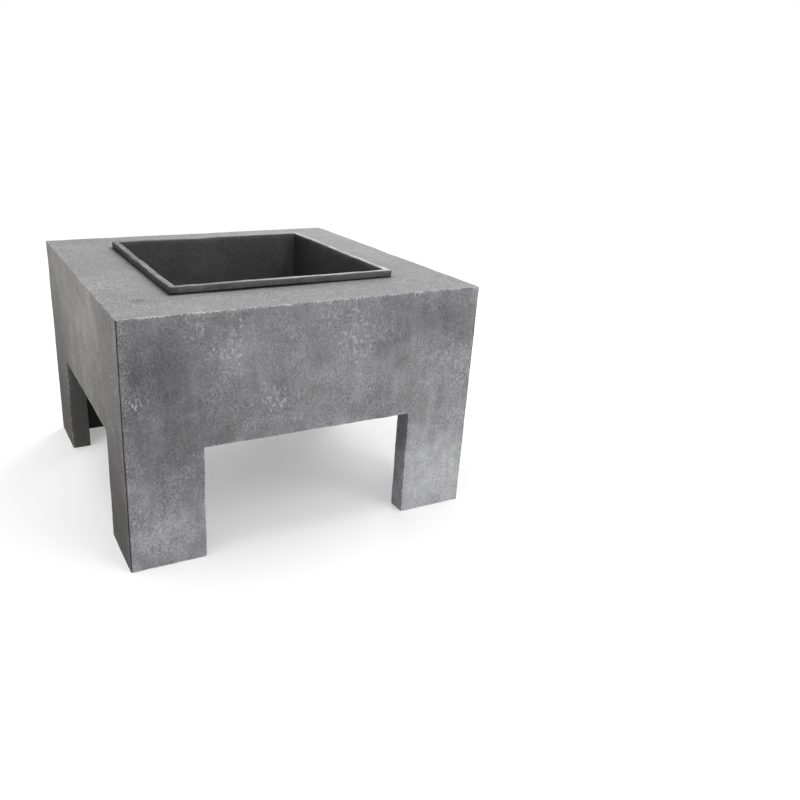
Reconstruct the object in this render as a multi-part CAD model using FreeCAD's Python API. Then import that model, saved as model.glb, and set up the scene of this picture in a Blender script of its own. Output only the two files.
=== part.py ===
"""Square garden fire pit: a mitred cement table, a lift-out steel fire tray and a low fire grate.

The origin is on the ground under the middle of the table. +Z is up, +X is to the right and -Y is
the front. All sizes are in millimetres.
"""

import FreeCAD, Part

import math
import os

# --- Table -------------------------------------------------------------------------------------
TABLE_WIDTH = 600.0
TABLE_DEPTH = 600.0
TABLE_HEIGHT = 398.0
PANEL_THICKNESS = 34.0
SLAB_THICKNESS = 34.0
LEG_WIDTH = 120.0
LEG_HEIGHT = 189.0

# --- Fire tray ---------------------------------------------------------------------------------
TRAY_RIM_WIDTH = 388.0
TRAY_FLANGE_WIDTH = 11.0
TRAY_HEIGHT = 104.0
TRAY_SHEET = 2.5
TRAY_LIP_HEIGHT = 10.5
TRAY_WALL_TAPER = 2.5  # degrees from vertical
TRAY_BEND_RADIUS = 4.0  # inside radius between the floor and the walls
SEAT_RIB_HEIGHT = 12.0  # rim top down to the table
SEAT_RIB_INSET = 4.0  # from the lip's outer face to the rib's outer face
TRAY_HOLE_CLEARANCE = 1.5  # tray wall to the edge of the table's hole

# --- Fire grate --------------------------------------------------------------------------------
GRATE_WALL_GAP = 50.0  # grate to the foot of the tray's walls
GRATE_BAR_SECTION = 10.0  # square bar of the frame and feet
GRATE_ROD_DIAMETER = 8.0
GRATE_ROD_COUNT = 11
GRATE_STRAP_WIDTH = 18.0
GRATE_FOOT_HEIGHT = 13.0

# --- Where things meet -------------------------------------------------------------------------
RIM_TOP = TABLE_HEIGHT + SEAT_RIB_HEIGHT
TRAY_INNER_TOP = TRAY_RIM_WIDTH - 2 * TRAY_FLANGE_WIDTH
TRAY_OUTER_TOP = TRAY_INNER_TOP + 2 * TRAY_SHEET
TRAY_UNDERSIDE = RIM_TOP - TRAY_HEIGHT
TRAY_FLOOR = TRAY_UNDERSIDE + TRAY_SHEET
TABLE_HOLE_WIDTH = TRAY_OUTER_TOP + 2 * TRAY_HOLE_CLEARANCE


def tray_narrowing(drop):
    """How much less the tray is across at a distance below its rim."""
    return 2 * drop * math.tan(math.radians(TRAY_WALL_TAPER))


TRAY_FLOOR_WIDTH = TRAY_INNER_TOP - tray_narrowing(RIM_TOP - TRAY_FLOOR)
GRATE_WIDTH = TRAY_FLOOR_WIDTH - 2 * GRATE_WALL_GAP
GRATE_BOTTOM = TRAY_FLOOR + GRATE_FOOT_HEIGHT
GRATE_TOP = GRATE_BOTTOM + GRATE_BAR_SECTION


def rectangle(width, depth, z):
    """A rectangle centred on the Z axis, as a wire at height z."""
    x = width / 2
    y = depth / 2
    corners = [(-x, -y), (x, -y), (x, y), (-x, y), (-x, -y)]
    return Part.makePolygon([FreeCAD.Vector(px, py, z) for px, py in corners])


def block(width, depth, low, high):
    """A box centred on the Z axis, from height low to height high."""
    corner = FreeCAD.Vector(-width / 2, -depth / 2, low)
    return Part.makeBox(width, depth, high - low, corner)


def frustum(low_size, low, high_size, high):
    """A solid with a rectangle at each end, tapering straight from one to the other."""
    ends = [rectangle(*low_size, low), rectangle(*high_size, high)]
    return Part.makeLoft(ends, True, True)


def square_ring(outer, inner, low, high):
    """A square frame of plain section, centred on the Z axis."""
    return block(outer, outer, low, high).cut(block(inner, inner, low, high))


def prism(points, low, high):
    """A plan outline raised from height low to height high."""
    closed = [FreeCAD.Vector(x, y, low) for x, y in points + points[:1]]
    face = Part.Face(Part.makePolygon(closed))
    return face.extrude(FreeCAD.Vector(0, 0, high - low))


def turned(shape, degrees):
    """A copy turned about the Z axis."""
    copy = shape.copy()
    copy.rotate(FreeCAD.Vector(0, 0, 0), FreeCAD.Vector(0, 0, 1), degrees)
    return copy


# --- Table parts -------------------------------------------------------------------------------
def slab_blank():
    """The top board without its hole. Its edges are mitred to meet the four side panels."""
    inner_size = (TABLE_WIDTH - 2 * PANEL_THICKNESS, TABLE_DEPTH - 2 * PANEL_THICKNESS)
    outer_size = (TABLE_WIDTH, TABLE_DEPTH)
    return frustum(inner_size, TABLE_HEIGHT - SLAB_THICKNESS, outer_size, TABLE_HEIGHT)


def top_slab():
    """The top board with the square hole that the tray hangs in."""
    hole = block(TABLE_HOLE_WIDTH, TABLE_HOLE_WIDTH, 0, 2 * TABLE_HEIGHT)
    return slab_blank().cut(hole)


def side_panel(length, distance):
    """A panel facing -Y, mitred at both ends and along the top, with a leg at each end.

    length is its outer width and distance is how far its outer face is from the table's middle.
    """
    end = length / 2
    inner_end = end - PANEL_THICKNESS
    inner_distance = distance - PANEL_THICKNESS
    plan = [(-end, -distance), (end, -distance), (inner_end, -inner_distance), (-inner_end, -inner_distance)]
    panel = prism(plan, 0, TABLE_HEIGHT)
    gap_width = length - 2 * LEG_WIDTH
    gap_corner = FreeCAD.Vector(-gap_width / 2, -2 * distance, 0)
    gap = Part.makeBox(gap_width, 2 * distance, LEG_HEIGHT, gap_corner)
    return panel.cut(gap)


def side_panels():
    """The four panels by name, each mitred against the top board."""
    front = side_panel(TABLE_WIDTH, TABLE_DEPTH / 2)
    side = side_panel(TABLE_DEPTH, TABLE_WIDTH / 2)
    panels = {
        "front_panel": front,
        "right_panel": turned(side, 90),
        "back_panel": turned(front, 180),
        "left_panel": turned(side, -90),
    }
    return {name: panel.cut(slab_blank()) for name, panel in panels.items()}


# --- Fire tray ---------------------------------------------------------------------------------
def tapered_block(top_width, low, high):
    """A square block that narrows downwards with the tray's walls."""
    low_width = top_width - tray_narrowing(high - low)
    return frustum((low_width, low_width), low, (top_width, top_width), high)


def floor_edges(shape, level):
    """The edges of a tapered block that lie in its underside."""
    return [edge for edge in shape.Edges if edge.BoundBox.ZMax < level + TRAY_SHEET / 2]


def tray_pan():
    """The walls and floor, with a bend radius where they meet."""
    outer = tapered_block(TRAY_OUTER_TOP, TRAY_UNDERSIDE, RIM_TOP)
    inner = tapered_block(TRAY_INNER_TOP, TRAY_FLOOR, RIM_TOP)
    outer = outer.makeFillet(TRAY_BEND_RADIUS + TRAY_SHEET, floor_edges(outer, TRAY_UNDERSIDE))
    inner = inner.makeFillet(TRAY_BEND_RADIUS, floor_edges(inner, TRAY_FLOOR))
    return outer.cut(inner)


def tray_rim():
    """The flat flange with its turned-down lip, and the rib under it that sits on the table."""
    rib_outer = TRAY_RIM_WIDTH - 2 * SEAT_RIB_INSET
    under_flange = RIM_TOP - TRAY_SHEET
    flange = square_ring(TRAY_RIM_WIDTH, TRAY_INNER_TOP, under_flange, RIM_TOP)
    lip = square_ring(
        TRAY_RIM_WIDTH, TRAY_RIM_WIDTH - 2 * TRAY_SHEET, RIM_TOP - TRAY_LIP_HEIGHT, RIM_TOP
    )
    rib = square_ring(rib_outer, rib_outer - 2 * TRAY_SHEET, RIM_TOP - SEAT_RIB_HEIGHT, RIM_TOP)
    return flange.fuse([lip, rib])


def fire_tray():
    """The whole tray as one piece of welded sheet steel."""
    return tray_pan().fuse(tray_rim()).removeSplitter()


# --- Fire grate --------------------------------------------------------------------------------
def grate_frame_bar():
    """The front bar of the grate's frame, mitred at both ends."""
    end = GRATE_WIDTH / 2
    inner_end = end - GRATE_BAR_SECTION
    plan = [(-end, -end), (end, -end), (inner_end, -inner_end), (-inner_end, -inner_end)]
    return prism(plan, GRATE_BOTTOM, GRATE_TOP)


def grate_rod(index):
    """One round rod, from the front frame bar to the back one, level with their tops."""
    inner_width = GRATE_WIDTH - 2 * GRATE_BAR_SECTION
    radius = GRATE_ROD_DIAMETER / 2
    pitch = inner_width / (GRATE_ROD_COUNT + 1)
    start = FreeCAD.Vector((index + 1) * pitch - inner_width / 2, -inner_width / 2, GRATE_TOP - radius)
    return Part.makeCylinder(radius, inner_width, start, FreeCAD.Vector(0, 1, 0))


def grate_strap():
    """The flat strap under the rods that joins them across the middle."""
    inner_width = GRATE_WIDTH - 2 * GRATE_BAR_SECTION
    return block(inner_width, GRATE_STRAP_WIDTH, GRATE_BOTTOM, GRATE_TOP - GRATE_ROD_DIAMETER)


def grate_foot():
    """The foot under the grate's front left corner."""
    corner = FreeCAD.Vector(-GRATE_WIDTH / 2, -GRATE_WIDTH / 2, TRAY_FLOOR)
    return Part.makeBox(GRATE_BAR_SECTION, GRATE_BAR_SECTION, GRATE_FOOT_HEIGHT, corner)


def grate_parts():
    """Every piece of the grate by name."""
    sides = {"front": 0, "right": 90, "back": 180, "left": 270}
    corners = {"front_left": 0, "front_right": 90, "back_right": 180, "back_left": 270}
    parts = {f"grate_frame_{name}": turned(grate_frame_bar(), angle) for name, angle in sides.items()}
    parts |= {f"grate_rod_{number + 1}": grate_rod(number) for number in range(GRATE_ROD_COUNT)}
    parts["grate_strap"] = grate_strap()
    parts |= {f"grate_foot_{name}": turned(grate_foot(), angle) for name, angle in corners.items()}
    return parts


# --- Everything --------------------------------------------------------------------------------
def all_parts():
    """Every node of the fire pit by name."""
    return {"top_slab": top_slab(), **side_panels(), "fire_tray": fire_tray(), **grate_parts()}


os.makedirs("parts", exist_ok=True)
for node, shape in all_parts().items():
    shape.exportStep(f"parts/{node}.step")
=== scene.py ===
"""Looks of the square fire pit: cast cement boards, a painted sheet steel tray and a welded grate.

Everything is in metres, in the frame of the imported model: the ground is z = 0 and -Y is the front.
"""

import math

import bpy
import numpy as np
from mathutils import Matrix, Vector


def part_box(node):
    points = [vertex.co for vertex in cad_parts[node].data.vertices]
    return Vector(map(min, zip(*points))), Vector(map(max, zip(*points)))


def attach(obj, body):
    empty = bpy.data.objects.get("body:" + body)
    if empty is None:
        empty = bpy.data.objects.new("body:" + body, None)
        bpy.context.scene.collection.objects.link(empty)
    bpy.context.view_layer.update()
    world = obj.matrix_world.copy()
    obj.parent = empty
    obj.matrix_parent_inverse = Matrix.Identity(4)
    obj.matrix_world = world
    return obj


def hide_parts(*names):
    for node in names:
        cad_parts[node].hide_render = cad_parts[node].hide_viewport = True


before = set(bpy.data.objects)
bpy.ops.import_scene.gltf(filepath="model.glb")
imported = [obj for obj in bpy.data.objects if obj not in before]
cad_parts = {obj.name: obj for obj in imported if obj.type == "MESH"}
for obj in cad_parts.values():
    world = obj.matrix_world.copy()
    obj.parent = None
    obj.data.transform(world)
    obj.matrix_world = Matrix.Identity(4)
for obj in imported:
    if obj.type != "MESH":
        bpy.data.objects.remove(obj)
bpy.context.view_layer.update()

MM = 0.001

# --- Sizes read from the frame -----------------------------------------------------------------
slab_low, slab_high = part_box("top_slab")
tray_low, tray_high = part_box("fire_tray")
TABLE_SIZE = (2 * slab_high.x, 2 * slab_high.y)
TABLE_TOP = slab_high.z
BOARD = slab_high.z - slab_low.z
RIM_HALF = tray_high.x
RIM_TOP = tray_high.z
TRAY_BOTTOM = tray_low.z

# --- Sizes that the frame's boxes don't hold ---------------------------------------------------
LEG_WIDTH = 120 * MM
LEG_HEIGHT = 189 * MM
FLANGE = 11 * MM
SHEET = 2.5 * MM
LIP_HEIGHT = 10.5 * MM
RIB_INSET = 4 * MM
RIB_HEIGHT = RIM_TOP - TABLE_TOP
HOLE_CLEARANCE = 1.5 * MM
WALL_SLOPE = math.tan(math.radians(2.5))
FLOOR_BEND = 4 * MM

TINY = 1e-6  # nearer than this is the same place
GRID_STEP = 5 * MM
EDGE_STEPS = np.array([0, 0.4, 0.9, 1.6, 2.6, 4.2]) * MM


# --- Random fields and meshes ------------------------------------------------------------------
def waves(points, wavelength, seed, count=28):
    """A smooth random field of mean 0 and deviation about 1, with features of one wavelength."""
    random = np.random.default_rng(seed)
    directions = random.normal(size=(count, 3))
    directions /= np.linalg.norm(directions, axis=1)[:, None]
    lengths = wavelength * random.uniform(0.7, 1.5, count)
    phases = random.uniform(0, 2 * math.pi, count)
    turns = points @ (directions * (2 * math.pi / lengths)[:, None]).T + phases
    return np.sin(turns).sum(axis=1) * math.sqrt(2 / count)


def wander(points, wavelength, amount, seed):
    """A small random shift of each point, the same for points in the same place."""
    shifts = [waves(points, wavelength, seed + axis) for axis in range(3)]
    return amount * np.stack(shifts, axis=1)


def smooth_step(values, low, high):
    """0 below low, 1 above high and smooth between."""
    share = np.clip((values - low) / (high - low), 0, 1)
    return share * share * (3 - 2 * share)


def make_piece(name, points, faces, material, body, values=None):
    """A mesh object that rides on a body. values holds a number per point for the material to read."""
    mesh = bpy.data.meshes.new(name)
    mesh.from_pydata(np.asarray(points).tolist(), [], [list(map(int, face)) for face in faces])
    mesh.shade_smooth()
    mesh.materials.append(material)
    for label, numbers in (values or {}).items():
        attribute = mesh.attributes.new(label, "FLOAT", "POINT")
        attribute.data.foreach_set("value", np.asarray(numbers, np.float32))
    piece = bpy.data.objects.new(name, mesh)
    bpy.context.scene.collection.objects.link(piece)
    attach(piece, body)
    return piece


# --- Material nodes ----------------------------------------------------------------------------
class Shader:
    """A material with one Principled shader, and short ways to add the nodes that feed it."""

    def __init__(self, name, **constants):
        self.material = bpy.data.materials.new(name)
        self.material.use_nodes = True
        self.tree = self.material.node_tree
        self.principled = self.tree.nodes["Principled BSDF"]
        for label, value in constants.items():
            socket = label.replace("_", " ").title().replace("Ior", "IOR")
            self.principled.inputs[socket].default_value = value
        self.place = self.node("ShaderNodeTexCoord").outputs["Object"]

    def node(self, kind, inputs=None, **settings):
        """A new node. inputs maps a socket's name or number to a value or to another socket."""
        made = self.tree.nodes.new(kind)
        for label, value in settings.items():
            setattr(made, label, value)
        for key, value in (inputs or {}).items():
            self.feed(made.inputs[key], value)
        return made

    def feed(self, socket, value):
        """Links a socket, or sets its value."""
        if isinstance(value, bpy.types.NodeSocket):
            self.tree.links.new(value, socket)
        else:
            socket.default_value = value

    def noise(self, scale, detail=4.0, roughness=0.55, distortion=0.0, vector=None):
        """Fractal noise from 0 to 1, mostly near 0.5."""
        inputs = {
            "Vector": vector or self.place,
            "Scale": scale,
            "Detail": detail,
            "Roughness": roughness,
            "Distortion": distortion,
        }
        return self.node("ShaderNodeTexNoise", inputs).outputs["Fac"]

    def layers(self, start, *pairs):
        """start with several noises added, each swinging round 0 and scaled by its own weight."""
        total = start
        for layer, weight in pairs:
            total = self.math("MULTIPLY_ADD", self.math("SUBTRACT", layer, 0.5), weight, total)
        return total

    def stretched(self, factors):
        """The place, scaled by its own factor along each axis."""
        inputs = {"Vector": self.place, "Scale": factors}
        return self.node("ShaderNodeMapping", inputs).outputs["Vector"]

    def math(self, operation, first, second=0.0, third=0.0, clamp=False):
        """One Math node."""
        inputs = {0: first, 1: second, 2: third}
        return self.node("ShaderNodeMath", inputs, operation=operation, use_clamp=clamp).outputs[0]

    def between(self, value, low, high, to_low=0.0, to_high=1.0):
        """value mapped smoothly from low..high to to_low..to_high."""
        inputs = {"Value": value, 1: low, 2: high, 3: to_low, 4: to_high}
        return self.node("ShaderNodeMapRange", inputs, interpolation_type="SMOOTHSTEP").outputs[0]

    def ramp(self, value, stops):
        """A colour for each value, from a list of (position, colour)."""
        made = self.node("ShaderNodeValToRGB", {"Fac": value})
        elements = made.color_ramp.elements
        while len(elements) < len(stops):
            elements.new(0.5)
        for element, (position, colour) in zip(elements, stops):
            element.position = position
            element.color = (*colour, 1)
        return made.outputs["Color"]

    def mix(self, share, first, second, blend="MIX"):
        """Two colours mixed; share 0 gives the first."""
        made = self.node("ShaderNodeMix", data_type="RGBA", blend_type=blend)
        self.feed(made.inputs[0], share)
        for number, colour in ((6, first), (7, second)):
            plain = not isinstance(colour, bpy.types.NodeSocket)
            self.feed(made.inputs[number], (*colour, 1) if plain else colour)
        return made.outputs[2]

    def value(self, label):
        """The number that the mesh holds under this name."""
        return self.node("ShaderNodeAttribute", attribute_name=label).outputs["Fac"]

    def bump(self, height, distance, strength=1.0):
        """Relief from a height field; distance is the height in metres of a value of 1."""
        inputs = {"Height": height, "Distance": distance, "Strength": strength}
        normal = self.node("ShaderNodeBump", inputs).outputs["Normal"]
        self.feed(self.principled.inputs["Normal"], normal)

    def surface(self, colour, roughness):
        """Feeds the shader its colour and its roughness."""
        self.feed(self.principled.inputs["Base Color"], colour)
        self.feed(self.principled.inputs["Roughness"], roughness)


def grey(level, warmth=0.0):
    """A linear grey, a little warmer or cooler."""
    return (level * (1 + warmth), level, level * (1 - warmth))


def cement_material():
    """Cast cement: cloudy, with fine upright grain, clusters of pale flecks, pits and rubbed edges, with
    painted light, painted shade and painted highlights in its tone, edges and seams.
    """
    shader = Shader("cement", specular_ior_level=0.3)
    clouds = shader.noise(7.5, 3.0, 0.5, 0.5)
    mottle = shader.noise(30.0, 5.0, 0.62, 0.25)
    streaks = shader.noise(1.0, 4.0, 0.6, 0.4, vector=shader.stretched((70.0, 70.0, 12.0)))
    grain = shader.noise(1.0, 3.0, 0.7, vector=shader.stretched((330.0, 330.0, 170.0)))
    speckle = shader.noise(300.0, 3.0, 0.8)
    lively = shader.value("lively")
    coarse = shader.between(shader.noise(16.0, 3.0), 0.35, 0.65, 0.6, 1.2)
    grit = shader.math("MULTIPLY", shader.value("grit"), coarse)
    # The per-point cloud value holds patches of tone and also painted light and painted shade: pale leg
    # feet, a darker foot of the left panel, darker reveals and a lighter top.
    tone = shader.layers(
        shader.math("MULTIPLY_ADD", shader.value("cloud_light_and_shade"), 0.09, 0.5),
        (clouds, shader.math("MULTIPLY", lively, 0.18)),
        (mottle, shader.math("MULTIPLY", lively, 0.26)),
        (streaks, shader.math("MULTIPLY", lively, 0.12)),
        (grain, shader.math("MULTIPLY", grit, 0.32)),
        (speckle, shader.math("MULTIPLY", grit, 0.46)),
    )
    stops = [
        (0.30, grey(0.060)),
        (0.42, grey(0.116)),
        (0.50, grey(0.172)),
        (0.58, grey(0.250)),
        (0.74, grey(0.450)),
    ]
    colour = shader.ramp(tone, stops)
    lace = shader.noise(1.0, 5.0, 0.7, 0.25, vector=shader.stretched((170.0, 170.0, 120.0)))
    gathered = shader.between(shader.noise(48.0, 4.0, 0.7), 0.42, 0.60, 0.1, 1.5)
    clumps = shader.math("MULTIPLY", shader.value("fleck"), gathered)
    flecks = shader.math("MULTIPLY", shader.between(lace, 0.48, 0.68), clumps, clamp=True)
    colour = shader.mix(shader.math("MULTIPLY", flecks, 0.65), colour, grey(0.44))
    dots = shader.between(shader.noise(420.0, 2.0, 0.5), 0.62, 0.74, 0.0, 0.5)
    colour = shader.mix(dots, colour, grey(0.085))
    voronoi = shader.node("ShaderNodeTexVoronoi", {"Vector": shader.place, "Scale": 40.0})
    cells = voronoi.outputs["Distance"]
    pit_places = shader.between(shader.noise(11.0, 2.0), 0.56, 0.64)
    pits = shader.math("MULTIPLY", shader.between(cells, 0.040, 0.070, 1.0, 0.0), pit_places)
    colour = shader.mix(shader.math("MULTIPLY", pits, 0.6), colour, grey(0.05))
    warmth = shader.value("warmth")
    swing = shader.math("MULTIPLY_ADD", shader.math("MAXIMUM", warmth, 0.0), 1.6, 0.9)
    mean_tint = shader.math("MULTIPLY_ADD", warmth, 0.5, 0.5)
    tint = shader.layers(mean_tint, (shader.noise(13.0, 4.0, 0.6, 0.5), swing))
    tint_stops = [(0.0, (0.965, 0.970, 1.030)), (0.5, (1.0, 1.0, 1.0)), (1.0, (1.035, 1.0, 0.950))]
    colour = shader.mix(1.0, colour, shader.ramp(tint, tint_stops), "MULTIPLY")
    # Lighter rubbed edges; along the tops of the boards this also paints a highlight.
    rubbed = shader.between(shader.layers(0.5, (mottle, 0.8), (speckle, 1.2)), 0.44, 0.60)
    rub_and_highlight = shader.math("MULTIPLY", shader.value("wear_and_highlight"), rubbed, clamp=True)
    colour = shader.mix(rub_and_highlight, colour, grey(0.55))
    # Dark cast seams at the arrises; on the top the same value paints the shadow line round the tray's rim.
    broken = shader.between(grain, 0.3, 0.6, 0.7, 1.0)
    seam_and_shadow = shader.math("MULTIPLY", shader.value("seam_and_shadow"), broken, clamp=True)
    colour = shader.mix(seam_and_shadow, colour, grey(0.035))
    # The inner faces and the slab's underside are made near black; in the hollow under the table this also
    # stands in for deep shade.
    colour = shader.mix(shader.value("inside"), colour, grey(0.014))
    shader.surface(colour, shader.between(mottle, 0.3, 0.7, 0.74, 0.94))
    raised = [(grain, 0.6), (mottle, 0.5), (speckle, 0.8), (flecks, 0.3)]
    sunken = [(pits, -1.6), (dots, -0.8)]
    height = shader.layers(0.0, *raised, *sunken)
    shader.bump(height, 0.9 * MM, 0.7)
    return shader.material


def tray_material():
    """Satin black heat-proof paint on sheet steel, smudged, with a fine orange peel and rubbed edges, and
    with painted shade and painted highlights.
    """
    shader = Shader("tray_paint", specular_ior_level=0.5)
    smudge = shader.noise(16.0, 5.0, 0.6, 0.8)
    peel = shader.noise(900.0, 2.0, 0.5)
    scratch_a = shader.noise(1.0, 3.0, 0.7, vector=shader.stretched((28.0, 28.0, 700.0)))
    scratch_b = shader.noise(1.0, 3.0, 0.7, vector=shader.stretched((420.0, 60.0, 60.0)))
    soot_and_shadow = shader.value("soot_and_shadow")
    marks = [shader.between(scratch, 0.70, 0.78) for scratch in (scratch_a, scratch_b)]
    scratches = shader.math("MAXIMUM", *marks)
    grit = shader.noise(300.0, 3.0, 0.85)
    tone = shader.layers(0.5, (smudge, 0.5), (grit, 1.3))
    stops = [(0.2, grey(0.019, -0.02)), (0.5, grey(0.042, -0.01)), (0.8, grey(0.080))]
    colour = shader.ramp(tone, stops)
    colour = shader.mix(shader.math("MULTIPLY", scratches, 0.35), colour, grey(0.10))
    # Soot darkens the paint, and the same value paints shade: a bluish black on the right inner wall, on the
    # lip's left side and along the lip's foot.
    colour = shader.mix(shader.math("MULTIPLY", soot_and_shadow, 0.85), colour, grey(0.010, -0.08))
    # Rubbed paint lightens the edges, and the same value paints highlights: a light line at the rim's inner
    # bend and a sheen on the flange and the front of the lip.
    uneven = shader.between(smudge, 0.4, 0.6, 0.35, 1.0)
    edge = shader.math("MULTIPLY", shader.value("wear_and_highlight"), uneven, clamp=True)
    colour = shader.mix(edge, colour, shader.ramp(grit, [(0.35, grey(0.08)), (0.65, grey(0.24))]))
    satin = shader.between(smudge, 0.3, 0.7, 0.50, 0.66)
    shader.surface(colour, shader.math("MULTIPLY_ADD", scratches, 0.1, satin))
    height = shader.math("ADD", peel, shader.math("MULTIPLY", shader.noise(120.0, 3.0), 0.6))
    shader.bump(height, 0.12 * MM, 0.6)
    return shader.material


def grate_material():
    """Hot-rolled steel bar under thin matt black paint, scaly, with a breath of rust."""
    shader = Shader("grate_steel", metallic=0.35, specular_ior_level=0.5)
    scale = shader.noise(60.0, 6.0, 0.65, 0.4)
    fine = shader.noise(520.0, 4.0, 0.6)
    stops = [(0.3, grey(0.018)), (0.5, grey(0.034, 0.03)), (0.7, grey(0.060, 0.05))]
    colour = shader.ramp(scale, stops)
    rust = shader.between(shader.noise(38.0, 5.0, 0.7, 0.5), 0.56, 0.70, 0.0, 0.55)
    colour = shader.mix(rust, colour, (0.085, 0.035, 0.016))
    shader.surface(colour, shader.between(fine, 0.3, 0.7, 0.48, 0.78))
    shader.bump(shader.math("ADD", scale, shader.math("MULTIPLY", fine, 0.5)), 0.35 * MM, 0.7)
    return shader.material


def weld_material():
    """Bare weld metal, rippled and heat-tinted brown and blue."""
    shader = Shader("weld", metallic=0.8, specular_ior_level=0.5)
    tint = shader.noise(180.0, 3.0, 0.6)
    stops = [(0.35, (0.05, 0.03, 0.02)), (0.5, (0.09, 0.07, 0.055)), (0.65, (0.045, 0.05, 0.07))]
    shader.surface(shader.ramp(tint, stops), shader.between(tint, 0.3, 0.7, 0.35, 0.6))
    shader.bump(shader.noise(700.0, 3.0), 0.2 * MM, 0.6)
    return shader.material


def floor_material():
    """A plain pale studio floor that fades into the white room a few metres out."""
    shader = Shader("studio_floor", specular_ior_level=0.0, emission_strength=0.32)
    shader.principled.inputs["Emission Color"].default_value = (1, 1, 1, 1)
    shader.surface(shader.ramp(shader.noise(1.2, 2.0), [(0.3, grey(0.60)), (0.7, grey(0.63))]), 1.0)
    length = shader.node("ShaderNodeVectorMath", {0: shader.place}, operation="LENGTH")
    far_out = shader.between(length.outputs["Value"], 1.3, 3.2)
    clear = shader.node("ShaderNodeBsdfTransparent").outputs[0]
    inputs = {0: far_out, 1: shader.principled.outputs[0], 2: clear}
    faded = shader.node("ShaderNodeMixShader", inputs).outputs[0]
    shader.feed(shader.tree.nodes["Material Output"].inputs["Surface"], faded)
    return shader.material


# --- Cement boards -----------------------------------------------------------------------------
def graded(low, high):
    """Grid lines from low to high, close together at both ends."""
    first = low + EDGE_STEPS[-1]
    last = high - EDGE_STEPS[-1]
    middle = np.linspace(first, last, max(2, round((last - first) / GRID_STEP) + 1))
    return np.concatenate([low + EDGE_STEPS[:-1], middle, (high - EDGE_STEPS[:-1])[::-1]])


def grid_lines(*stops):
    """Grid lines through several stops, close together at each."""
    spans = [graded(low, high) for low, high in zip(stops, stops[1:])]
    return np.unique(np.concatenate(spans).round(7))


def skin(lines, filled):
    """The outer skin of the filled cells of a grid: its points, and quads that face outwards."""
    padded = np.pad(filled, 1)
    quads = []
    for axis in range(3):
        right, up = (axis + 1) % 3, (axis + 2) % 3
        for side, shift in ((0, 1), (1, -1)):
            beside = np.roll(padded, shift, axis)[1:-1, 1:-1, 1:-1]
            corner = np.argwhere(filled & ~beside)
            corner[:, axis] += side
            ring = []
            for step_right, step_up in ((0, 0), (1, 0), (1, 1), (0, 1)):
                point = corner.copy()
                point[:, right] += step_right
                point[:, up] += step_up
                ring.append(point)
            quads.append(np.stack(ring if side else ring[::-1], axis=1))
    quads = np.concatenate(quads)
    corners, index = np.unique(quads.reshape(-1, 3), axis=0, return_inverse=True)
    points = np.stack([lines[axis][corners[:, axis]] for axis in range(3)], axis=1)
    return points, index.reshape(-1, 4)


def filled_cells(lines, is_open):
    """Which cells of a grid are solid; is_open says of a cell's middle that it is empty."""
    middles = [(line[1:] + line[:-1]) / 2 for line in lines]
    return ~is_open(*np.meshgrid(*middles, indexing="ij"))


def pulled_in(distance, start, full, depth):
    """A distance beyond start, shortened so that what was at full comes to full less depth."""
    share = np.clip((np.abs(distance) - start) / (full - start), 0, None)
    return np.sign(distance) * (np.abs(distance) - share * depth)


def rounded(points, inner, radius):
    """Points brought to within a radius of the matching inner points."""
    offset = points - inner
    length = np.linalg.norm(offset, axis=1)
    share = np.minimum(1, radius / np.maximum(length, 1e-9))
    return inner + offset * share[:, None]


def edge_radius(points):
    """How round a cast edge is near each point: about 1.3 mm, more where it is chipped."""
    large_chips = smooth_step(waves(points, 26 * MM, 11), 1.4, 2.8)
    small_chips = smooth_step(waves(points, 11 * MM, 12), 1.2, 2.6)
    uneven = 0.25 * waves(points, 60 * MM, 10) + 0.2 * waves(points, 10 * MM, 13)
    return (1.3 + uneven + large_chips + small_chips) * MM


def turn(points, degrees):
    """Points turned about the Z axis."""
    return points @ np.array(Matrix.Rotation(math.radians(degrees), 3, "Z")).T


def cast_surface(points):
    """The slight unevenness of a cast board, kept inside the outline of the table."""
    moved = points + wander(points, 90 * MM, 0.22 * MM, 20) + wander(points, 18 * MM, 0.06 * MM, 30)
    half = np.array([TABLE_SIZE[0] / 2, TABLE_SIZE[1] / 2])
    moved[:, :2] = np.clip(moved[:, :2], -half, half)
    moved[:, 2] = np.clip(moved[:, 2], 0, TABLE_TOP)
    return moved


# Soft patches of tone on the front panel, with painted light and painted shade among them: the strong pale
# patches at the feet of the legs are painted light, and the darker patches on the left half are painted
# shade. Each is its place along the panel, its height and its size, in metres, and its strength. A strength
# below 0 is darker.
FRONT_TONE_AND_LIGHT = [
    (-0.270, 0.310, 0.040, -0.7),
    (-0.197, 0.350, 0.050, -0.6),
    (-0.210, 0.230, 0.060, -0.5),
    (-0.235, 0.160, 0.050, -0.4),
    (-0.120, 0.320, 0.035, 0.6),
    (-0.030, 0.330, 0.060, 0.4),
    (0.060, 0.250, 0.050, 0.2),
    (0.152, 0.342, 0.035, -0.6),
    (0.243, 0.356, 0.030, -0.4),
    (0.270, 0.260, 0.030, 0.5),
    (-0.240, 0.050, 0.050, 1.1),
    (0.240, 0.040, 0.070, 1.9),
    (0.240, 0.160, 0.060, 0.5),
]
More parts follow.
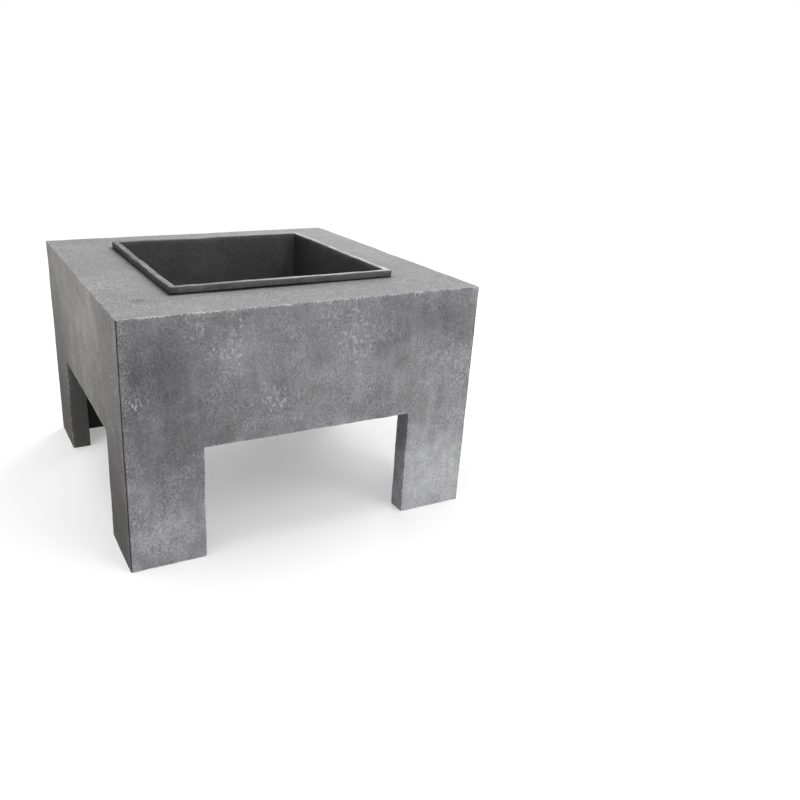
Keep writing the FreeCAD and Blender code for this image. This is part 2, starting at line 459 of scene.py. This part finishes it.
# Where the front panel's pale flecks gather, given in the same way.
FRONT_FLECKS = [
    (-0.118, 0.374, 0.016, 0.9),
    (-0.135, 0.335, 0.020, 1.1),
    (-0.150, 0.315, 0.016, 0.8),
    (-0.104, 0.274, 0.020, 0.8),
    (-0.073, 0.255, 0.020, 1.0),
    (-0.039, 0.241, 0.018, 1.0),
    (-0.185, 0.385, 0.016, 0.7),
    (0.051, 0.329, 0.018, 0.7),
    (0.084, 0.336, 0.020, 0.9),
    (0.092, 0.297, 0.020, 0.9),
    (0.076, 0.388, 0.018, 0.9),
    (0.032, 0.388, 0.016, 0.7),
    (0.180, 0.290, 0.022, 0.6),
    (0.252, 0.283, 0.022, 0.9),
    (0.286, 0.239, 0.020, 1.0),
    (-0.251, 0.070, 0.022, 1.0),
    (-0.284, 0.073, 0.014, 0.8),
    (0.246, 0.085, 0.024, 0.7),
    (-0.285, 0.265, 0.014, 0.8),
]


def patches(along, height, clouds):
    """The sum of soft round patches at each point of a panel."""
    total = np.zeros(len(along))
    for place, level, size, strength in clouds:
        total += strength * np.exp(-((along - place) ** 2 + (height - level) ** 2) / (2 * size**2))
    return total


def scattered(seed, count, sizes, strengths):
    """Patches at random places of a panel."""
    random = np.random.default_rng(seed)
    lows = [-0.28, 0.02, sizes[0], strengths[0]]
    highs = [0.28, 0.39, sizes[1], strengths[1]]
    return [tuple(random.uniform(lows, highs)) for _ in range(count)]


def near(distance, reach):
    """1 at an edge, falling to 0 within a few times the reach."""
    return np.exp(-distance / reach)


def side_panel(
    node, length, distance, degrees, material, clouds, flecks, warmth, lively=1.0, grit=0.92, edge_wear_and_highlight=0.85
):
    """A panel with a leg at each end, made facing -Y and then turned. It stands for a CAD board.

    length is its outer width and distance is how far its outer face is from the table's middle.
    clouds are patches of tone, with painted light and painted shade among them, and flecks are patches
    of pale flecks. warmth tints it from -1 (cool) to 1 (warm), lively scales its cloudiness, grit its
    grain, and edge_wear_and_highlight the rub and the painted highlight along its top.
    """
    end = length / 2
    gap = end - LEG_WIDTH
    lines = [
        grid_lines(-end, -gap, gap, end),
        graded(0, BOARD),
        grid_lines(0, LEG_HEIGHT, TABLE_TOP),
    ]
    filled = filled_cells(lines, lambda u, w, v: (abs(u) < gap) & (v < LEG_HEIGHT))
    points, quads = skin(lines, filled)
    along, depth, height = points.T.copy()
    shape = points.copy()
    shape[:, 0] = pulled_in(along, gap, end, depth)
    shape[:, 2] = pulled_in(height, LEG_HEIGHT, TABLE_TOP, depth)
    world = turn(shape - [0, distance, 0], degrees)
    radius = edge_radius(world)
    in_leg = height < LEG_HEIGHT - TINY
    over_gap = np.abs(along) < gap - TINY
    inner = shape.copy()
    inner[:, 1] = np.clip(inner[:, 1], radius, BOARD - radius)
    inner[:, 0] = np.sign(inner[:, 0]) * np.minimum(np.abs(inner[:, 0]), end - radius)
    sides = np.sign(inner[:, 0]) * np.maximum(np.abs(inner[:, 0]), gap + radius)
    inner[:, 0] = np.where(in_leg, sides, inner[:, 0])
    low = np.where(over_gap, LEG_HEIGHT, 0) + radius
    inner[:, 2] = np.clip(inner[:, 2], low, TABLE_TOP - radius)
    shape = rounded(shape, inner, radius)
    to_arris = np.hypot(depth, end - np.abs(along))
    groove = smooth_step(to_arris, 4 * MM, 0) * (0.75 * MM)
    shape[:, 0] -= np.sign(along) * groove
    beside_gap = in_leg | (height <= LEG_HEIGHT + TINY)
    opening_edge = np.where(beside_gap, np.abs(np.abs(along) - gap), 1.0)
    soffit_edge = np.where(np.abs(along) <= gap + TINY, np.abs(height - LEG_HEIGHT), 1.0)
    reveal_shade = in_leg * (np.abs(along) < gap + TINY)
    # Rubbed edges, and along the top arris also a painted highlight.
    wear_and_highlight = (
        edge_wear_and_highlight * near(np.hypot(depth, TABLE_TOP - height), 1.5 * MM)
        + 0.5 * near(np.hypot(depth, opening_edge), 1.6 * MM)
        + 0.5 * near(np.hypot(depth, soffit_edge), 1.6 * MM)
        + 0.5 * near(np.hypot(depth, height), 2.0 * MM)
        + 0.25 * near(to_arris, 6 * MM)
    )
    stray_flecks = 0.3 * smooth_step(waves(world, 80 * MM, 15), 0.2, 1.6)
    values = {
        "wear_and_highlight": np.clip(wear_and_highlight, 0, 1),
        "seam_and_shadow": np.exp(-((to_arris / (1.5 * MM)) ** 2)),
        "inside": (depth > BOARD - TINY).astype(float),
        # The reveals, the leg faces inside the opening, are made darker: painted shade.
        "cloud_light_and_shade": patches(along, height, clouds) - reveal_shade,
        "fleck": patches(along, height, flecks) + stray_flecks,
        "lively": np.full(len(points), lively),
        "grit": np.full(len(points), grit),
        "warmth": np.full(len(points), warmth),
    }
    world = cast_surface(turn(shape - [0, distance, 0], degrees))
    piece = make_piece(f"cast_{node}", world, quads, material, "table", values)
    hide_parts(node)


def top_board(material):
    """The top board with its square hole. It stands for the CAD slab."""
    half = np.array(TABLE_SIZE) / 2
    hole = RIM_HALF - FLANGE + SHEET + HOLE_CLEARANCE
    lines = [np.union1d(grid_lines(-end, -RIM_HALF, RIM_HALF, end), [-hole, hole]) for end in half]
    lines.append(graded(TABLE_TOP - BOARD, TABLE_TOP))
    filled = filled_cells(lines, lambda x, y, z: (abs(x) < hole) & (abs(y) < hole))
    points, quads = skin(lines, filled)
    depth = TABLE_TOP - points[:, 2]
    shape = points.copy()
    for axis in (0, 1):
        shape[:, axis] = pulled_in(points[:, axis], hole, half[axis], depth)
    radius = edge_radius(shape)
    inner = shape.copy()
    for axis in (0, 1):
        limit = half[axis] - radius
        inner[:, axis] = np.clip(inner[:, axis], -limit, limit)
    inner[:, 2] = np.minimum(inner[:, 2], TABLE_TOP - radius)
    shape = rounded(shape, inner, radius)
    to_edge = np.minimum(*(half[axis] - np.abs(points[:, axis]) for axis in (0, 1)))
    smudges = [(-0.245, -0.211, 0.007, -1.2), (0.08, 0.243, 0.010, -0.6)]
    smudge = patches(points[:, 0], points[:, 1], smudges)
    past_rim = np.clip(np.abs(points[:, :2]).max(axis=1) - RIM_HALF, 0, None)
    # A dark band painted on the top just outside the tray's rim: painted shadow under the lip, stronger
    # towards the left and the front.
    soot_and_shadow = smooth_step(-points[:, 0] - 0.5 * points[:, 1], -0.30, 0.15)
    count = len(points)
    values = {
        # The top's outer edges are lighter, less on the left edge: rubbed wear and painted highlight.
        "wear_and_highlight": (0.85 - 0.5 * (points[:, 0] < -half[0] + 8 * MM)) * near(np.hypot(depth, to_edge), 1.5 * MM),
        "seam_and_shadow": (0.3 + 0.9 * soot_and_shadow) * np.exp(-((past_rim / (1.8 * MM + 2.4 * MM * soot_and_shadow)) ** 2)),
        "inside": (depth > BOARD - TINY).astype(float),
        # The top is made lighter, and more so towards the back right: painted light.
        "cloud_light_and_shade": 0.3 + 0.2 * smooth_step(points[:, 0] + points[:, 1], 0.1, 0.5) + smudge,
        "fleck": 0.15 * smooth_step(waves(points, 70 * MM, 14), 0.4, 1.8),
        "lively": np.full(count, 0.45),
        "grit": np.full(count, 1.0),
        "warmth": np.full(count, -0.1),
    }
    piece = make_piece("cast_top_slab", cast_surface(shape), quads, material, "table", values)
    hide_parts("top_slab")


def table(material):
    """All five boards."""
    width, depth = TABLE_SIZE
    # Painted light and shade for the side panels: the pale patches at the feet of the legs are painted
    # light, and the left panel's list is painted shade, darker towards its foot and lighter near its top.
    lit_leg_feet = [(-0.24, 0.03, 0.07, 0.9), (0.24, 0.03, 0.07, 0.9)]
    shade = [(0.0, 0.37, 0.17, 1.0), (-0.25, 0.03, 0.14, -2.2), (0.25, 0.03, 0.14, -2.2)]
    shade += [(0.019, 0.376, 0.005, -1.2), (0.036, 0.371, 0.005, -1.0), (0.061, 0.363, 0.006, -0.9)]
    clouds = [scattered(seed, 9, (0.03, 0.06), (-0.7, 0.6)) for seed in (70, 71)]
    flecks = [scattered(seed, 16, (0.014, 0.024), (0.5, 1.0)) for seed in (72, 73, 74)]
    top_board(material)
    side_panel("front_panel", width, depth / 2, 0, material, FRONT_TONE_AND_LIGHT, FRONT_FLECKS, -0.55)
    side_panel("right_panel", depth, width / 2, 90, material, lit_leg_feet + clouds[0], flecks[0], 0.1)
    side_panel("back_panel", width, depth / 2, 180, material, lit_leg_feet + clouds[1], flecks[1], -0.3)
    # The left panel's top edge gets less of the rub and the painted highlight.
    left = {"lively": 0.9, "grit": 1.1, "edge_wear_and_highlight": 0.4}
    side_panel("left_panel", depth, width / 2, 270, material, shade, flecks[2][:5], 0.6, **left)


# --- Fire tray ---------------------------------------------------------------------------------
def arc(centre, radius, start, stop, count=6):
    """Points of a bend in the tray's section, as (distance from the middle, height)."""
    angles = np.radians(np.linspace(start, stop, count))
    return [(centre[0] + radius * math.cos(a), centre[1] + radius * math.sin(a)) for a in angles]


def line(start, stop, count):
    """Evenly spaced points of a straight stretch, without its ends."""
    shares = np.linspace(0, 1, count + 2)[1:-1]
    return [tuple(np.array(start) * (1 - s) + np.array(stop) * s) for s in shares]


def tray_section():
    """The tray's section from the middle of its floor, over the rim and back under the floor."""
    wall_top = RIM_HALF - FLANGE
    floor = TRAY_BOTTOM + SHEET
    foot = wall_top - (RIM_TOP - floor) * WALL_SLOPE
    top_bend, lip_bend = 2.5 * MM, 1.8 * MM
    under = RIM_TOP - SHEET
    lip_end = RIM_TOP - LIP_HEIGHT
    rib_out = RIM_HALF - RIB_INSET
    rib_in = rib_out - SHEET
    rib_end = RIM_TOP - RIB_HEIGHT
    outer_bend = FLOOR_BEND + SHEET
    slope = math.degrees(math.atan(WALL_SLOPE))
    inner_arc = arc((foot - FLOOR_BEND, floor + FLOOR_BEND), FLOOR_BEND, -90, -slope)
    outer_arc = arc((foot + SHEET - outer_bend, TRAY_BOTTOM + outer_bend), outer_bend, -slope, -90)
    top_arc = arc((wall_top + top_bend, RIM_TOP - top_bend), top_bend, 180, 90)
    lip_arc = arc((RIM_HALF - lip_bend, RIM_TOP - lip_bend), lip_bend, 90, 0)
    centre = 6 * MM
    section = [(centre, floor), *line((centre, floor), inner_arc[0], 22), *inner_arc]
    section += [*line(inner_arc[-1], top_arc[0], 14), *top_arc]
    section += [*line(top_arc[-1], lip_arc[0], 2), *lip_arc]
    section += [*line(lip_arc[-1], (RIM_HALF, lip_end), 2), (RIM_HALF, lip_end + 0.5 * MM)]
    section += [(RIM_HALF - 0.4 * MM, lip_end), (RIM_HALF - SHEET + 0.4 * MM, lip_end)]
    section += [(RIM_HALF - SHEET, lip_end + 0.5 * MM), (RIM_HALF - SHEET, under), (rib_out, under)]
    section += [(rib_out, rib_end), (rib_in, rib_end), (rib_in, under), (wall_top + SHEET, under)]
    section += [*line((wall_top + SHEET, under), outer_arc[0], 14), *outer_arc]
    section += [*line(outer_arc[-1], (centre, TRAY_BOTTOM), 22), (centre, TRAY_BOTTOM)]
    return section


def square_loop(half, corner, per_side=56, per_corner=4):
    """A square with rounded corners, as points round the Z axis."""
    reach = half - corner
    angles = np.linspace(0, math.pi / 2, per_corner + 1)
    bend = np.stack([reach + corner * np.cos(angles), reach + corner * np.sin(angles)], axis=1)
    edge = np.linspace(1, -1, per_side + 1)[1:-1]
    side = np.stack([edge * reach, np.full(len(edge), half)], axis=1)
    quarter = np.concatenate([bend, side])
    turns = [np.array(Matrix.Rotation(math.radians(degrees), 2)) for degrees in (0, 90, 180, 270)]
    return np.concatenate([quarter @ rotation.T for rotation in turns])


def fire_tray(material):
    """The tray swept round its square plan, with the slight waves of folded sheet."""
    section = tray_section()
    loops = []
    for distance, height in section:
        corner = 3.0 * MM if distance > RIM_HALF - FLANGE + 3 * MM else 1.8 * MM
        loop = square_loop(distance, min(distance * 0.6, corner))
        loops.append(np.column_stack([loop, np.full(len(loop), height)]))
    count = len(loops[0])
    points = np.concatenate(loops)
    index = np.arange(len(points)).reshape(len(loops), count)
    near_row, far_row = index[:-1], index[1:]
    ring = [near_row, np.roll(near_row, -1, 1), np.roll(far_row, -1, 1), far_row]
    quads = np.stack(ring, axis=2).reshape(-1, 4)
    faces = [*quads, index[0][::-1], index[-1]]
    plan = points * [1, 1, 0.15]
    moved = points + wander(plan, 140 * MM, 0.35 * MM, 40) + wander(plan, 45 * MM, 0.14 * MM, 50)
    moved[:, 2] = np.minimum(moved[:, 2], RIM_TOP)
    rim = np.maximum(np.abs(points[:, 0]), np.abs(points[:, 1]))
    from_bend = np.hypot(points[:, 2] - RIM_TOP, rim - (RIM_HALF - FLANGE))
    from_arris = np.hypot(points[:, 2] - RIM_TOP, rim - RIM_HALF)
    ripple = 0.4 * MM * waves(plan, 27 * MM, 55) * near(np.minimum(from_bend, from_arris), 4 * MM)
    moved[:, :2] *= (1 + ripple / rim)[:, None]
    top_edges = near(from_arris, 1.2 * MM)
    # A light line along the rim's inner bend: painted highlight.
    bend_highlight = near(from_bend, 2.4 * MM)
    on_flange = (points[:, 2] > RIM_TOP - 0.3 * MM) & (rim > RIM_HALF - FLANGE + 1 * MM)
    on_lip = (rim > RIM_HALF - 0.3 * MM) & ~on_flange
    # The flange is lighter with dust and with a painted sheen.
    flange_dust_and_sheen = 0.75 + 0.15 * waves(points, 12 * MM, 57)
    inner_face = RIM_HALF - FLANGE - (RIM_TOP - points[:, 2]) * WALL_SLOPE
    inside = (rim < inner_face + 0.3 * MM) & (points[:, 2] > TRAY_BOTTOM + SHEET / 2)
    on_right = smooth_step(points[:, 0] - np.abs(points[:, 1]), -0.001, 0.001)
    # The right inner wall is darkened: painted shade.
    right_wall_shade = on_right * (0.55 + 0.45 * smooth_step(points[:, 1], 0.02, 0.17))
    low_down = smooth_step(points[:, 2], RIM_TOP, TRAY_BOTTOM)
    flame = smooth_step(waves(points, 60 * MM, 56), -0.4, 2.4) * low_down
    outside = (rim < RIM_HALF - 1 * MM) & ~inside & ~on_flange
    on_left = smooth_step(-points[:, 0] - np.abs(points[:, 1]), -0.003, 0.003)
    lip_foot = smooth_step(points[:, 2], RIM_TOP - 0.8 * LIP_HEIGHT, RIM_TOP - LIP_HEIGHT)
    lip_shade = on_lip * np.clip(on_left + lip_foot, 0, 1)
    # Soot low in the tray, the outer walls made darker, and painted shade on the right inner wall and on the
    # lip's left side and foot.
    soot_and_shadow = inside * np.clip(right_wall_shade + 0.3 * flame, 0, 1) + 0.7 * outside + 0.7 * lip_shade
    # Dust and painted sheen: a lighter flange, less on the right, and a lighter lip except on the left.
    dust_and_sheen = flange_dust_and_sheen * (1 - 0.6 * on_right) * on_flange + 0.3 * (1 - on_left) * on_lip
    wear_and_highlight = np.clip(0.2 * top_edges + 0.5 * bend_highlight + dust_and_sheen, 0, 1)
    values = {"wear_and_highlight": wear_and_highlight, "soot_and_shadow": soot_and_shadow}
    piece = make_piece("folded_fire_tray", moved, faces, material, "tray", values)
    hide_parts("fire_tray")


# --- Grate -------------------------------------------------------------------------------------
def bead(path, radius, closed):
    """A lumpy weld bead along a path: its points and quads."""
    path = np.asarray(path)
    around = 8
    ahead, behind = np.roll(path, -1, 0), np.roll(path, 1, 0)
    if not closed:
        ahead[-1], behind[0] = path[-1], path[0]
    direction = ahead - behind
    direction /= np.linalg.norm(direction, axis=1)[:, None]
    steady = np.array([0.31, 0.87, 0.38])
    side = np.cross(direction, steady)
    side /= np.linalg.norm(side, axis=1)[:, None]
    up = np.cross(side, direction)
    lumps = radius * (1 + 0.16 * waves(path, 2.4 * MM, 60))
    if not closed:
        lumps[[0, -1]] *= 0.35
    angles = np.linspace(0, 2 * math.pi, around, endpoint=False)
    ring = np.cos(angles)[None, :, None] * side[:, None] + np.sin(angles)[None, :, None] * up[:, None]
    points = path[:, None] + ring * lumps[:, None, None]
    index = np.arange(len(path) * around).reshape(len(path), around)
    rows = np.vstack([index, index[:1]]) if closed else index
    first, second = rows[:-1], rows[1:]
    corners = [first, second, np.roll(second, -1, 1), np.roll(first, -1, 1)]
    quads = np.stack(corners, axis=2).reshape(-1, 4)
    faces = [list(quad) for quad in quads]
    if not closed:
        faces += [list(index[0]), list(index[-1][::-1])]
    return points.reshape(-1, 3), faces


def weld_paths():
    """The centre lines of the grate's welds, each with its bead radius and whether it is closed."""
    rods = [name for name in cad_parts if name.startswith("grate_rod_")]
    angles = np.linspace(0, 2 * math.pi, 20, endpoint=False)
    circle = [(math.cos(a), math.sin(a)) for a in angles]
    for name in sorted(rods):
        low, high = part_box(name)
        middle, radius = (low + high) / 2, (high.x - low.x) / 2
        for end, inwards in ((low.y, 1), (high.y, -1)):
            y = end + inwards * 0.3 * MM
            yield [(middle.x + radius * u, y, middle.z + radius * v) for u, v in circle], 1.0 * MM, True
    bar_low, bar_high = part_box("grate_frame_front")
    outer, top = -bar_low.y, bar_high.z
    section = bar_high.z - bar_low.z
    for x, y in ((-1, -1), (1, -1), (1, 1), (-1, 1)):
        shares = np.linspace(outer - 0.6 * MM, outer - section, 14)
        yield [(x * s, y * s, top - 0.2 * MM) for s in shares], 0.9 * MM, False
        reach = outer - 0.3 * MM
        heights = np.linspace(bar_low.z, top - 0.6 * MM, 10)
        yield [(x * reach, y * reach, z) for z in heights], 0.7 * MM, False
    strap_low, strap_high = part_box("grate_strap")
    for x in (strap_low.x, strap_high.x):
        ys = np.linspace(strap_low.y, strap_high.y, 16)
        yield [(x, y, strap_high.z) for y in ys], 0.9 * MM, False


def grate_welds(material):
    """Every weld of the grate as one piece."""
    points, faces, count = [], [], 0
    for path, radius, closed in weld_paths():
        bead_points, bead_faces = bead(path, radius, closed)
        points.append(bead_points)
        faces += [[number + count for number in face] for face in bead_faces]
        count += len(bead_points)
    make_piece("grate_welds", np.concatenate(points), faces, material, "grate")


def grate(material, welds):
    """The CAD bars and rods with eased edges and a steel finish, and the welds that join them."""
    for name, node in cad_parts.items():
        if not name.startswith("grate_"):
            continue
        node.data.materials.clear()
        node.data.materials.append(material)
        if not name.startswith("grate_rod_"):
            ease = node.modifiers.new("eased_edges", "BEVEL")
            ease.width = 0.8 * MM
            ease.segments = 3
            ease.limit_method = "ANGLE"
            ease.angle_limit = math.radians(40)
    grate_welds(welds)


# --- Studio ------------------------------------------------------------------------------------
def studio_floor(material):
    """A wide pale floor at z = 0."""
    mesh = bpy.data.meshes.new("studio_floor")
    reach = 30.0
    corners = [(-reach, -reach, 0), (reach, -reach, 0), (reach, reach, 0), (-reach, reach, 0)]
    mesh.from_pydata(corners, [], [(0, 1, 2, 3)])
    mesh.materials.append(material)
    floor = bpy.data.objects.new("studio_floor", mesh)
    bpy.context.scene.collection.objects.link(floor)


def soft_light(name, place, target, size, power):
    """A square soft box that faces a target."""
    data = bpy.data.lights.new(name, "AREA")
    data.size = size
    data.energy = power
    lamp = bpy.data.objects.new(name, data)
    lamp.location = place
    lamp.rotation_euler = (Vector(target) - Vector(place)).to_track_quat("-Z", "Y").to_euler()
    bpy.context.scene.collection.objects.link(lamp)


def white_room():
    """A room that is seen white all round, and lights the table less from the left."""
    world = bpy.data.worlds.new("white_room")
    world.use_nodes = True
    nodes, links = world.node_tree.nodes, world.node_tree.links
    direction = nodes.new("ShaderNodeTexCoord")
    parts = nodes.new("ShaderNodeSeparateXYZ")
    share = nodes.new("ShaderNodeMapRange")
    for number, value in ((1, -1.0), (2, 1.0), (3, 0.62), (4, 1.0)):
        share.inputs[number].default_value = value
    seen = nodes.new("ShaderNodeLightPath")
    level = nodes.new("ShaderNodeMix")
    level.inputs[3].default_value = 1.0
    background = nodes["Background"]
    background.inputs["Color"].default_value = (1, 1, 1, 1)
    links.new(direction.outputs["Generated"], parts.inputs[0])
    links.new(parts.outputs["X"], share.inputs["Value"])
    links.new(seen.outputs["Is Camera Ray"], level.inputs[0])
    links.new(share.outputs[0], level.inputs[2])
    links.new(level.outputs[0], background.inputs["Strength"])
    bpy.context.scene.world = world


def studio_lights():
    """Soft boxes: high behind the table, overhead to the left, and low in front to the right."""
    middle = (0, 0, 0.3)
    soft_light("back_box", (1.5, 2.1, 1.5), middle, 1.1, 38)
    soft_light("top_box", (-0.7, -0.2, 2.4), middle, 1.4, 26)
    soft_light("front_box", (1.0, -2.1, 2.3), middle, 1.2, 20)
    soft_light("low_box", (1.1, -1.4, 0.25), (0.25, -0.3, 0.1), 0.6, 3)
    bpy.context.scene.view_settings.view_transform = "Standard"


def photo_camera():
    """The camera at the photograph's angle. The table stands left of the middle of the frame."""
    azimuth, elevation, roll = (math.radians(angle) for angle in (-27.036, 21.698, 2.039))
    data = bpy.data.cameras.new("camera")
    data.sensor_width = 36
    data.lens = 35.279
    data.shift_x = 0.1
    camera = bpy.data.objects.new("camera", data)
    ahead = Vector((-math.sin(azimuth), math.cos(azimuth), 0))
    look = ahead * math.cos(elevation) - Vector((0, 0, math.sin(elevation)))
    level = Vector((look.y, -look.x, 0)).normalized()
    upright = level.cross(look)
    right = level * math.cos(roll) + upright * math.sin(roll)
    up = right.cross(look)
    axes = Matrix((right, up, -look)).transposed()
    camera.matrix_world = Matrix.Translation((-0.5102, -1.3215, 0.6946)) @ axes.to_4x4()
    bpy.context.scene.collection.objects.link(camera)
    bpy.context.scene.camera = camera


table(cement_material())
fire_tray(tray_material())
grate(grate_material(), weld_material())
studio_floor(floor_material())
white_room()
studio_lights()
photo_camera()
